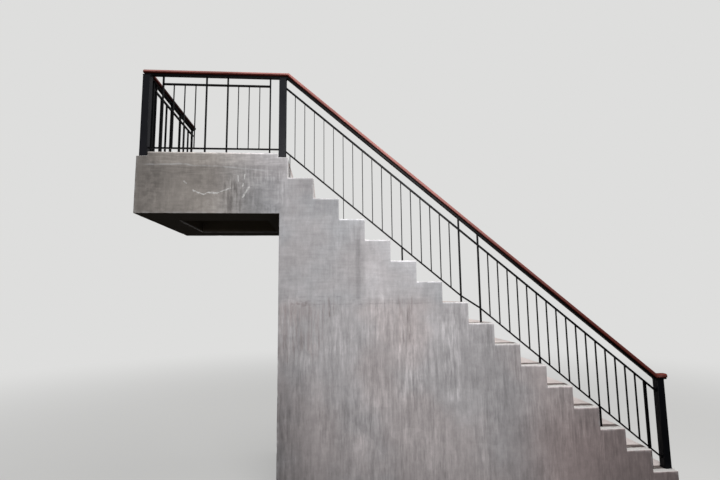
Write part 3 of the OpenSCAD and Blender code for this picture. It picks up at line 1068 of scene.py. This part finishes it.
class GeometryTree(NodeTree):
    """A Geometry Nodes tree."""

    def __init__(self, name: str) -> None:
        """Starts a tree that takes and gives geometry.

        Args:
            name: Name of the tree.
        """
        super().__init__(bpy.data.node_groups.new(name, "GeometryNodeTree"))
        self.entry = self.tree.nodes.new("NodeGroupInput")
        self.tree.interface.new_socket("Geometry", in_out="OUTPUT", socket_type="NodeSocketGeometry")
        self.points = self.take("Geometry", "Geometry")[0]

    def take(self, kind: str, *names: str) -> list[Value]:
        """Adds named inputs of one kind to the tree and returns them."""
        for name in names:
            self.tree.interface.new_socket(name, in_out="INPUT", socket_type=f"NodeSocket{kind}")
        return [Value(self, self.entry.outputs[name]) for name in names]

    def vector(self, x: object, y: object, z: object) -> Value:
        """Returns a vector made of three parts."""
        return self.out("ShaderNodeCombineXYZ", x, y, z)

    def bar(
        self, size: tuple[Value, Value], edge: tuple[Value, int], end: object
    ) -> tuple[Value, Value]:
        """Sweeps a rectangle with rounded corners from the origin to an end.

        Args:
            size: Width and height of the rectangle.
            edge: Radius of its corners, and the points on each.
            end: Where the bar ends.

        Returns:
            The bar, and the rounded rectangle.
        """
        outline = self.out("GeometryNodeCurvePrimitiveQuadrilateral", Width=size[0], Height=size[1])
        soft = self.out(
            "GeometryNodeFilletCurve", mode="POLY", Curve=outline, Radius=edge[0], Count=edge[1]
        )
        path = self.out("GeometryNodeCurvePrimitiveLine", End=end)
        swept = self.out("GeometryNodeCurveToMesh", Curve=path, Profile_Curve=soft, Fill_Caps=True)
        return swept, soft

    def copies(self, points: Value, shape: Value, **named: object) -> Value:
        """Returns copies of a shape on points, with any other input of the node by name."""
        return self.out("GeometryNodeInstanceOnPoints", Points=points, Instance=shape, **named)

    def finish(self, shapes: Sequence[Value]) -> None:
        """Ends the tree: joins the shapes and makes them real."""
        join = self.tree.nodes.new("GeometryNodeJoinGeometry")
        for shape in shapes:
            self.feed(join.inputs[0], shape)
        real = self.out("GeometryNodeRealizeInstances", Value(self, join.outputs[0]))
        self.add("NodeGroupOutput", real)

    def run(self, points: Mesh, **values: object) -> Mesh:
        """Runs the tree on a mesh of points.

        Args:
            points: The mesh that goes in.
            **values: Value of each named input, with underscores for spaces.

        Returns:
            The plain mesh that comes out.
        """
        maker = linked("maker", points)
        modifier = maker.modifiers.new("shape", "NODES")
        modifier.node_group = self.tree
        sockets = [i for i in self.tree.interface.items_tree if i.in_out == "INPUT"]
        keys = {socket.name.replace(" ", "_"): socket.identifier for socket in sockets}
        for name, value in values.items():
            modifier[keys[name]] = value
        return baked(maker)


class TreadRow:
    """The tread slabs, laid one after another by Geometry Nodes."""

    JOINT = 0.006
    ROUND = 0.004

    def __init__(self, plan: StairPlan) -> None:
        """Builds the tree that lays a rounded slab on each point of a sloping line.

        Args:
            plan: Main lines of the stair.
        """
        self.plan = plan
        self.tree = GeometryTree("tread_row")
        g = self.tree
        count = g.take("Int", "Count")[0]
        start = g.take("Vector", "Start")[0]
        names = ("Going", "Rise", "Thickness", "Length", "Edge Radius")
        going, rise, thickness, length, radius = g.take("Float", *names)
        step = g.vector(going, 0.0, rise * -1.0)
        line = g.out(
            "GeometryNodeMeshLine", mode="OFFSET", Count=count, Start_Location=start, Offset=step
        )
        slab, _ = g.bar((going, thickness), (radius, 3), g.vector(0.0, length, 0.0))
        g.finish([g.copies(line, slab)])

    def build(self, finishes: Finishes) -> None:
        """Lays the treads and hands them over as one piece.

        Args:
            finishes: The stair's finishes.
        """
        head = self.plan.treads[-1]
        mesh = self.tree.run(
            bpy.data.meshes.new("none"),
            Count=len(self.plan.treads),
            Going=self.plan.going,
            Rise=self.plan.rise,
            Thickness=head.size.z,
            Length=head.size.y - 2 * self.JOINT,
            Edge_Radius=self.ROUND,
            Start=Vector((head.middle.x, head.lo.y + self.JOINT, head.middle.z)),
        )
        finishes.cement.dress(weighted(mesh), "tread_slabs", *self.plan.tread_nodes)


@dataclass(frozen=True)
class RailEnd:
    """One end of a straight stretch of the handrail.

    Attributes:
        point: Where the stretch ends on the handrail's line.
        face: Normal of the plane that cuts it.
        inward: 1 where the stretch starts, -1 where it stops.
        free: Whether nothing joins it.
    """

    point: Vector
    face: Vector
    inward: int
    free: bool


class RailLine:
    """Line of the handrail's top, from the building round the corner and down to the foot."""

    NAMES = ("end", "landing", "flight", "foot")

    def __init__(self) -> None:
        """Reads the line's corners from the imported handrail."""
        end, landing, flight, foot = (Block.of(f"handrail_{name}") for name in self.NAMES)
        level = landing.hi.z
        side_x, front_y = end.middle.x, flight.middle.y
        self.points = [
            Vector((side_x, end.hi.y, level)),
            Vector((side_x, front_y, level)),
            Vector((landing.hi.x, front_y, level)),
            Vector((flight.hi.x, front_y, foot.hi.z)),
            Vector((foot.hi.x, front_y, foot.hi.z)),
        ]
        self.timber_w = flight.size.y
        self.timber_t = landing.size.z
        self.bar_t = Block.of("rail_bar_landing").size.z
        self.bar_w = Block.of("rail_bar_flight").size.y

    def stretches(self) -> dict[str, tuple[RailEnd, RailEnd]]:
        """Returns both ends of every stretch of the line, by the stretch's name."""
        runs = [(b - a).normalized() for a, b in zip(self.points, self.points[1:])]
        mitres = [(a + b).normalized() for a, b in zip(runs, runs[1:])]
        faces = [runs[0], *mitres, runs[-1]]
        last = len(runs)
        return {
            name: (
                RailEnd(self.points[i], faces[i], 1, i == 0),
                RailEnd(self.points[i + 1], faces[i + 1], -1, i + 1 == last),
            )
            for i, name in enumerate(self.NAMES)
        }


@dataclass(frozen=True)
class RailSection:
    """Section that is swept along the handrail's line.

    Attributes:
        width: Width of the section.
        top: Depth of its top below the line.
        bottom: Depth of its underside below the line.
        top_radius: Radius of its upper edges.
        low_radius: Radius of its lower edges.
        joint: Half the width of the joint at each mitre.
        end_radius: Radius of the edges round a free end.
    """

    width: float
    top: float
    bottom: float
    top_radius: float = 0.0015
    low_radius: float = 0.0015
    joint: float = 0.0
    end_radius: float = 0.001

    def sweep(self, ends: tuple[RailEnd, RailEnd]) -> Mesh:
        """Sweeps the section along one stretch.

        Args:
            ends: Both ends of the stretch.

        Returns:
            The bar's mesh, with an attribute named grain that runs along it, and one named depth.
        """
        start = ends[0].point
        way = ends[1].point - start
        run = way.normalized()
        side = Vector((-run.y, run.x, 0)).normalized()
        lift = run.cross(side)
        sections = []
        grains = []
        for end in ends:
            for inset, back in self._end_rows(end.free)[:: end.inward]:
                ring = []
                for u, v in self._outline(inset):
                    offset = side * u + lift * v
                    along = (-offset.dot(end.face)) / run.dot(end.face) + end.inward * back
                    ring.append(end.point + offset + run * along)
                    grains.append(((ring[-1] - start).dot(run), u, v + way.length))
                sections.append(ring)
        solid = loft(sections)
        layer = solid.verts.layers.float_vector.new("grain")
        depth = solid.verts.layers.float.new("depth")
        for vert, grain in zip(solid.verts, grains):
            vert[layer] = Vector(grain)
            vert[depth] = way.length - grain[2]
        return weighted(as_mesh(solid))

    def _end_rows(self, free: bool) -> list[tuple[float, float]]:
        """Places the outlines near one end of a stretch.

        Args:
            free: Whether nothing joins the end.

        Returns:
            The inset and the distance from the end of each outline.
        """
        if not free:
            return [(0.0, self.joint)]
        steps = 3
        turns = [math.pi / 2 * k / steps for k in range(steps + 1)]
        radius = self.end_radius
        return [(radius * (1 - math.sin(t)), radius * (1 - math.cos(t))) for t in turns]

    def _outline(self, inset: float) -> list[tuple[float, float]]:
        """Returns the section's outline, drawn in by an inset."""
        half = self.width / 2 - inset
        upward = (-self.bottom + inset, -self.top - inset)
        return rounded_outline((-half, half), upward, self.low_radius, self.top_radius, steps=4)


@dataclass(frozen=True)
class Handrail:
    """Timber handrail on its flat steel bar."""

    line: RailLine
    timber_round: float = 0.016

    def build(self, finishes: Finishes) -> None:
        """Makes the timber and the bar of every stretch.

        Args:
            finishes: The stair's finishes.
        """
        line = self.line
        split, under = line.timber_t, line.timber_t + line.bar_t
        bar = RailSection(line.bar_w, split, under)
        timber = RailSection(
            line.timber_w, 0.0, split, self.timber_round, low_radius=0.003, joint=0.0004, end_radius=0.004
        )
        for name, ends in line.stretches().items():
            finishes.timber.dress(timber.sweep(ends), f"timber_{name}", f"handrail_{name}")
            finishes.bars.dress(bar.sweep(ends), f"flat_bar_{name}", f"rail_bar_{name}")


@dataclass(frozen=True)
class Newel:
    """Square tube newel, welded under the handrail's bar."""

    node: str
    corner: float = 0.004
    bead: float = 0.004

    def build(self, finishes: Finishes) -> None:
        """Makes the newel, with a weld bead round its head and its foot.

        Args:
            finishes: The stair's finishes.
        """
        box = Block.of(self.node)
        rows = [(0.0, self.bead), (self.bead * 0.6, self.bead * 0.75), (self.bead, 0.0005)]
        solids = [[self._outline(box, z, 0.0) for z in (box.lo.z, box.hi.z)]]
        for level, out in ((box.lo.z, 1), (box.hi.z, -1)):
            solids.append([self._outline(box, level + out * rise, spread) for rise, spread in rows])
        mesh = weighted(joined([as_mesh(loft(solid)) for solid in solids]))
        finishes.steel.dress(mesh, f"{self.node}_tube", self.node)

    def _outline(self, box: Block, level: float, spread: float) -> list[Vector]:
        """Returns the tube's outline at a level, widened all round by a spread."""
        sides = [(box.lo[i] - spread, box.hi[i] + spread) for i in range(2)]
        radius = self.corner + spread
        return [Vector((x, y, level)) for x, y in rounded_outline(*sides, radius, radius)]


@dataclass(frozen=True)
class Upright:
    """A post, leg or baluster found in a packed panel."""

    along: float
    width: float
    depth: float
    foot: float
    head: float


class RailRun:
    """One rail of a panel, known by the heights of its underside and top at places along it."""

    def __init__(self, cuts: Sequence[Sequence[float]]) -> None:
        """Keeps the cuts, each a place along the rail, its underside and its top."""
        self.cuts = np.array(cuts)

    def heights(self, along: float) -> list[float]:
        """Returns the heights of the rail's underside and top at a place along it."""
        places, *levels = self.cuts.T
        return [float(np.interp(along, places, level)) for level in levels]

    def cut(self, along: float) -> np.ndarray:
        """Returns the cut at any place on the line through the first and the last cut."""
        first, last = self.cuts[0], self.cuts[-1]
        return first + (last - first) * ((along - first[0]) / (last[0] - first[0]))

    def slope(self) -> float:
        """Returns the mean slope of the rail's top."""
        along, _, high = self.cuts[-1] - self.cuts[0]
        return float(high / along)


class PanelScan:
    """Finds the bars of a packed balustrade panel by cutting it with planes."""

    LONG = 0.3
    GAP = 0.008
    BREAK = 0.038
    CLEAR = 0.012
    BITE = 0.003

    def __init__(self, node: str, frame_object: bpy.types.Object, axis: Axis) -> None:
        """Reads the panel's corners and edges.

        Args:
            node: Name of the panel's node.
            frame_object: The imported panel.
            axis: Direction that the panel runs along.
        """
        mesh = frame_object.data
        self.box = Block.of(node)
        self.axis = axis.value
        self.ends = (self.box.lo[self.axis], self.box.hi[self.axis])
        self.corners = np.array([tuple(v.co) for v in mesh.vertices])
        pairs = np.array([tuple(e.vertices) for e in mesh.edges])
        self.start = self.corners[pairs[:, 0]]
        self.run = self.corners[pairs[:, 1]] - self.start

    def uprights(self) -> list[Upright]:
        """Returns the panel's posts and balusters in order."""
        flat = np.hypot(self.run[:, 0], self.run[:, 1]) < TOUCH
        tall = flat & (np.abs(self.run[:, 2]) > self.LONG)
        return [self._bar(low, high) for low, high in self._groups(self.start[tall, self.axis])]

    def legs(self, foot: RailRun, uprights: Sequence[Upright]) -> list[Upright]:
        """Returns the short legs under the bottom rail, between the posts.

        Args:
            foot: The bottom rail.
            uprights: The panel's posts and balusters.
        """
        under = [c[2] < foot.heights(c[self.axis])[0] - self.CLEAR for c in self.corners]
        found = []
        for low, high in self._groups(self.corners[under][:, self.axis]):
            leg = self._bar(low, high)
            if all(abs(leg.along - u.along) > TOUCH or u.foot > leg.foot + TOUCH for u in uprights):
                found.append(replace(leg, head=sum(foot.heights(leg.along)) / 2))
        return found

    def rails(self, uprights: Sequence[Upright]) -> tuple[RailRun, RailRun]:
        """Cuts the panel between its uprights to find its rails.

        Args:
            uprights: The panel's posts and balusters.

        Returns:
            The bottom rail and the rail under the handrail.
        """
        edges = [self.ends[0]]
        for bar in uprights:
            reach = bar.width / 2 + self.CLEAR
            edges += [bar.along - reach, bar.along + reach]
        edges.append(self.ends[1])
        foot, sub = [], []
        for low, high in zip(edges[::2], edges[1::2]):
            if high - low < self.GAP:
                continue
            for place in (low + TOUCH, high - TOUCH):
                bands = self._bands(place)
                foot.append((place, *bands[0]))
                if len(bands) > 1:
                    sub.append((place, *bands[-1]))
        return self._run(foot), self._run(sub)

    def rail_depth(self) -> float:
        """Returns the depth of the rails, read where they end."""
        last = self.corners[:, self.axis] > self.ends[1] - TOUCH
        return float(np.ptp(self.corners[last, 1 - self.axis]))

    def _run(self, cuts: list[tuple[float, float, float]]) -> RailRun:
        """Returns a rail that runs on at both ends, into the posts or up to the panel's ends."""
        reach = self.CLEAR + self.BITE
        low = max(cuts[0][0] - reach, self.ends[0])
        high = min(cuts[-1][0] + reach, self.ends[1])
        return RailRun([RailRun(cuts[:2]).cut(low), *cuts, RailRun(cuts[-2:]).cut(high)])

    def _bar(self, low: float, high: float) -> Upright:
        """Returns the bar whose corners lie between two places along the panel."""
        along = self.corners[:, self.axis]
        members = self.corners[(along > low - TOUCH) & (along < high + TOUCH)]
        depth = float(np.ptp(members[:, 1 - self.axis]))
        foot, head = float(members[:, 2].min()), float(members[:, 2].max())
        return Upright((low + high) / 2, high - low, depth, foot, head)

    def _bands(self, place: float) -> list[tuple[float, float]]:
        """Returns the heights between which the panel is solid at a place along it."""
        before = self.start[:, self.axis] - place
        after = before + self.run[:, self.axis]
        crossed = before * after < 0
        share = before[crossed] / (before[crossed] - after[crossed])
        return self._groups(self.start[crossed, 2] + share * self.run[crossed, 2])

    def _groups(self, values: np.ndarray) -> list[tuple[float, float]]:
        """Returns the lowest and highest value of each cluster."""
        ordered = np.sort(values)
        breaks = np.flatnonzero(np.diff(ordered) > self.BREAK)
        lows = np.concatenate([ordered[:1], ordered[breaks + 1]])
        highs = np.concatenate([ordered[breaks], ordered[-1:]])
        return list(zip(lows.tolist(), highs.tolist()))


class UprightTree:
    """Geometry Nodes tree that stands a flat bar, with weld beads, on each point."""

    PAINT = 0.0006
    CORNER_SHARE = 0.15
    BEAD_SHARE = 0.35
    WIDEST_BEAD = 0.003

    def __init__(self) -> None:
        """Builds the tree."""
        g = GeometryTree("upright_bars")
        names = ("Width", "Depth", "Corner", "Bead", "Head Slope", "Foot Slope")
        width, depth, corner, bead, head_slope, foot_slope = g.take("Float", *names)
        length = g.out("GeometryNodeInputNamedAttribute", data_type="FLOAT", Name="length")
        bar, soft = g.bar((width, depth), (corner, 2), (0.0, 0.0, 1.0))
        ring = g.out("GeometryNodeCurvePrimitiveCircle", mode="RADIUS", Resolution=6, Radius=bead)
        weld = g.out("GeometryNodeCurveToMesh", Curve=soft, Profile_Curve=ring)
        up = g.vector(0.0, 0.0, length)
        heads = g.out("GeometryNodeSetPosition", Geometry=g.points, Offset=up)
        shapes = [g.copies(g.points, bar, Scale=g.vector(1.0, 1.0, length))]
        for slope, points in ((head_slope, heads), (foot_slope, g.points)):
            across = g.out("ShaderNodeSeparateXYZ", g.out("GeometryNodeInputPosition"))
            tilt = g.vector(0.0, 0.0, across * slope)
            leaning = g.out("GeometryNodeSetPosition", Geometry=weld, Offset=tilt)
            shapes.append(g.copies(points, leaning))
        g.finish(shapes)
        self.graph = g

    def stand(
        self,
        section: tuple[float, float],
        places: Sequence[Vector],
        lengths: Sequence[float],
        slopes: tuple[float, float],
    ) -> Mesh:
        """Stands a bar on each place.

        Args:
            section: Size of every bar along X and along Y.
            places: Middle of each bar's foot.
            lengths: Length of each bar.
            slopes: Slope of the weld at the head and at the foot.

        Returns:
            The mesh of all the bars.
        """
        thin = min(section)
        points = bpy.data.meshes.new("points")
        points.from_pydata([tuple(place) for place in places], [], [])
        points.attributes.new("length", "FLOAT", "POINT").data.foreach_set("value", lengths)
        return self.graph.run(
            points,
            Width=section[0] + 2 * self.PAINT,
            Depth=section[1] + 2 * self.PAINT,
            Corner=thin * self.CORNER_SHARE,
            Bead=min(thin * self.BEAD_SHARE, self.WIDEST_BEAD),
            Head_Slope=slopes[0],
            Foot_Slope=slopes[1],
        )


@dataclass(frozen=True)
class Panel:
    """A welded balustrade panel: two rails, with posts, legs and balusters.

    Attributes:
        node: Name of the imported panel's node.
        axis: Direction that the panel runs along.
        slim_legs: How many legs, from the head down, are as slim as the balusters.
        end_post_w: Width of the last post, or 0 where it is like the others.
        rail_round: Radius of the rails' edges.
    """

    node: str
    axis: Axis
    slim_legs: int = 0
    end_post_w: float = 0.0
    rail_round: float = 0.0015

    def build(self, frame_object: bpy.types.Object, tree: UprightTree, finishes: Finishes) -> None:
        """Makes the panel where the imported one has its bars.

        Args:
            frame_object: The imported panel.
            tree: The tree that stands the uprights.
            finishes: The stair's finishes.
        """
        scan = PanelScan(self.node, frame_object, self.axis)
        uprights = scan.uprights()
        foot, sub = scan.rails(uprights)
        slope = sub.slope()
        middle = scan.box.middle
        meshes = []
        bars_by_kind = self._sorted(self._trimmed(uprights, scan.legs(foot, uprights)), foot)
        for (on_rail, _), bars in bars_by_kind.items():
            section = (bars[0].width, bars[0].depth)[:: -1 if self.axis is Axis.Y else 1]
            trim = abs(slope) * bars[0].width / 2
            rise = trim if on_rail else 0.0
            places = [self._place(middle, bar.along, bar.foot + rise) for bar in bars]
            lengths = [bar.head - trim - (bar.foot + rise) for bar in bars]
            meshes.append(tree.stand(section, places, lengths, (slope, slope if on_rail else 0.0)))
            LOG.info("%s: %d bars of %.1f mm", self.node, len(bars), bars[0].width * 1000)
        for rail in (foot, sub):
            meshes.append(self._rail(rail, middle, scan.rail_depth() / 2))
        finishes.bars.dress(weighted(joined(meshes)), f"{self.node}_bars", self.node)

    def _trimmed(self, uprights: Sequence[Upright], legs: Sequence[Upright]) -> list[Upright]:
        """Returns the uprights and legs, with the slim legs and the wide end post of the panel."""
        slim = min(uprights, key=lambda bar: bar.width)
        cut = [replace(leg, width=slim.width, depth=slim.depth) for leg in legs[: self.slim_legs]]
        last = uprights[-1]
        last = replace(last, width=self.end_post_w or last.width)
        return [*uprights[:-1], last, *cut, *legs[self.slim_legs :]]

    def _sorted(
        self, bars: Sequence[Upright], foot: RailRun
    ) -> dict[tuple[bool, float], list[Upright]]:
        """Returns the bars by whether they stand on the bottom rail, and by their width."""
        kinds: dict[tuple[bool, float], list[Upright]] = {}
        for bar in bars:
            on_rail = bar.foot > foot.heights(bar.along)[0] - TOUCH
            kinds.setdefault((on_rail, round(bar.width, 4)), []).append(bar)
        return kinds

    def _place(self, middle: Vector, along: float, level: float) -> Vector:
        """Returns a point on the panel's middle plane."""
        place = Vector((middle.x, middle.y, level))
        place[self.axis.value] = along
        return place

    def _rail(self, rail: RailRun, middle: Vector, half: float) -> Mesh:
        """Skins a rail that runs through its cuts.

        Args:
            rail: The rail.
            middle: A point on the panel's middle plane.
            half: Half the depth of the rail.

        Returns:
            The rail's mesh.
        """
        radius = self.rail_round
        sections = []
        for along, low, high in rail.cuts.tolist():
            ring = []
            upward = (low - UprightTree.PAINT, high + UprightTree.PAINT)
            for v, z in rounded_outline((-half, half), upward, radius, radius, steps=2):
                point = self._place(middle, along, z)
                point[1 - self.axis.value] += v
                ring.append(point)
            sections.append(ring)
        return as_mesh(loft(sections))


@dataclass(frozen=True)
class PhotoCamera:
    """Camera that stands where the photograph was taken."""

    place: tuple[float, float, float] = (-0.779, -5.000, 1.880)
    yaw: float = -4.39
    pitch: float = 6.99
    roll: float = -0.63
    focal_px: float = 446.0
    frame_px: float = 720.0
    sensor: float = 36.0

    def build(self) -> None:
        """Makes the camera and gives it to the scene."""
        data = bpy.data.cameras.new("photo_camera")
        data.sensor_fit = "HORIZONTAL"
        data.sensor_width = self.sensor
        data.lens = self.focal_px / self.frame_px * self.sensor
        data.clip_end = 200
        camera = linked("photo_camera", data)
        camera.matrix_world = Matrix.Translation(self.place)
        for degrees, axis in ((self.yaw, "Z"), (90 + self.pitch, "X"), (self.roll, "Z")):
            camera.matrix_world @= Matrix.Rotation(math.radians(degrees), 4, axis)
        bpy.context.scene.camera = camera


@dataclass(frozen=True)
class Lamp:
    """A square soft lamp that points at a place on the stair."""

    name: str
    place: tuple[float, float, float]
    target: tuple[float, float, float]
    side: float
    power: float

    def build(self) -> None:
        """Makes the lamp."""
        data = bpy.data.lights.new(self.name, "AREA")
        data.shape = "SQUARE"
        data.size = self.side
        data.energy = self.power
        aim = Vector(self.target) - Vector(self.place)
        turn = aim.to_track_quat("-Z", "Y").to_matrix().to_4x4()
        linked(self.name, data).matrix_world = Matrix.Translation(self.place) @ turn


@dataclass(frozen=True)
class Studio:
    """Plain pale floor and soft light.

    Attributes:
        floor_tint: Colour of the floor as the camera sees it.
        bounce_tint: Colour of the floor as the stair sees it.
        floor_glow: Share of the background's colour in the floor near the stair.
        glow_near: Distance from the stair where the floor starts to fade into the background.
        glow_far: Distance where only the background shows.
        back_tint: Colour of the background.
        sky: Strength of the even light from all round.
    """

    floor_radius: float = 60.0
    floor_tint: Tint = Tint(214, 213, 210)
    bounce_tint: Tint = Tint(92, 90, 88)
    floor_glow: float = 0.55
    glow_near: float = 3.0
    glow_far: float = 12.0
    back_tint: Tint = Tint(222, 222, 221)
    sky: float = 0.26
    lamps: tuple[Lamp, ...] = (
        Lamp("key", (0.2, -4.9, 3.5), (0.1, -0.6, 1.8), 2.4, 168),
        Lamp("overhead", (1.5, -0.5, 9.5), (0.5, 0.0, 1.5), 7.0, 330),
    )

    def build(self) -> None:
        """Makes the floor, the pale surroundings and the lamps."""
        self._floor()
        self._world()
        for lamp in self.lamps:
            lamp.build()

    def _floor(self) -> None:
        """Lays the floor, which fades into the background far from the stair."""
        disc = bmesh.new()
        bmesh.ops.create_circle(disc, cap_ends=True, radius=self.floor_radius, segments=96)
        s = ShaderNodes("studio_floor")
        camera_sees = s.out("ShaderNodeLightPath")
        shown = s.blend(camera_sees, self.bounce_tint, self.floor_tint)
        mottle = s.noise(1.2, detail=4).swing(0.03)
        s.shade(Base_Color=s.scaled(shown, mottle), Roughness=0.8)
        reach = s.calc("SQRT", s.x * s.x + s.y * s.y)
        seen = reach.span(self.glow_near, self.glow_far, self.floor_glow, 1.0) * camera_sees
        glow = s.out("ShaderNodeEmission", self.back_tint, 1.0)
        surface = Value(s, s.shader.outputs[0])
        s.feed(s.output.inputs["Surface"], s.out("ShaderNodeMixShader", seen, surface, glow))
        mesh = as_mesh(disc, "studio_floor")
        mesh.materials.append(s.material)
        linked("studio_floor", mesh)

    def _world(self) -> None:
        """Gives the scene an even sky for light, and a pale background for the camera."""
        world = bpy.data.worlds.new("studio")
        world.use_nodes = True
        tree = NodeTree(world.node_tree)
        light = tree.out("ShaderNodeBackground", Tint(255, 255, 255), self.sky)
        back = tree.out("ShaderNodeBackground", self.back_tint, 1)
        camera_sees = tree.out("ShaderNodeLightPath")
        tree.add("ShaderNodeOutputWorld", tree.out("ShaderNodeMixShader", camera_sees, light, back))
        bpy.context.scene.world = world


def main() -> None:
    """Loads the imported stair, dresses it and sets up the studio."""
    logging.basicConfig(level=logging.INFO, format="%(name)s: %(message)s")
    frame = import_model()
    nodes = frame["nodes"]
    plan = StairPlan(nodes)
    finishes = Finishes.mixed(plan)
    Masonry(plan).build(finishes)
    slab = nodes["flight_slab"]
    slab.data.materials.clear()
    slab.data.materials.append(finishes.plaster.material)
    TreadRow(plan).build(finishes)
    for name in ("corner_newel", "top_newel", "foot_newel"):
        Newel(name).build(finishes)
    Handrail(RailLine()).build(finishes)
    tree = UprightTree()
    panels = (
        Panel("landing_panel", Axis.X),
        Panel("end_panel", Axis.Y),
        Panel("flight_panel_upper", Axis.X, slim_legs=2),
        Panel("flight_panel_lower", Axis.X, end_post_w=0.021),
    )
    for panel in panels:
        panel.build(nodes[panel.node], tree, finishes)
    Studio().build()
    PhotoCamera().build()
    bpy.context.scene.view_settings.view_transform = "Standard"


if __name__ == "__main__":
    main()
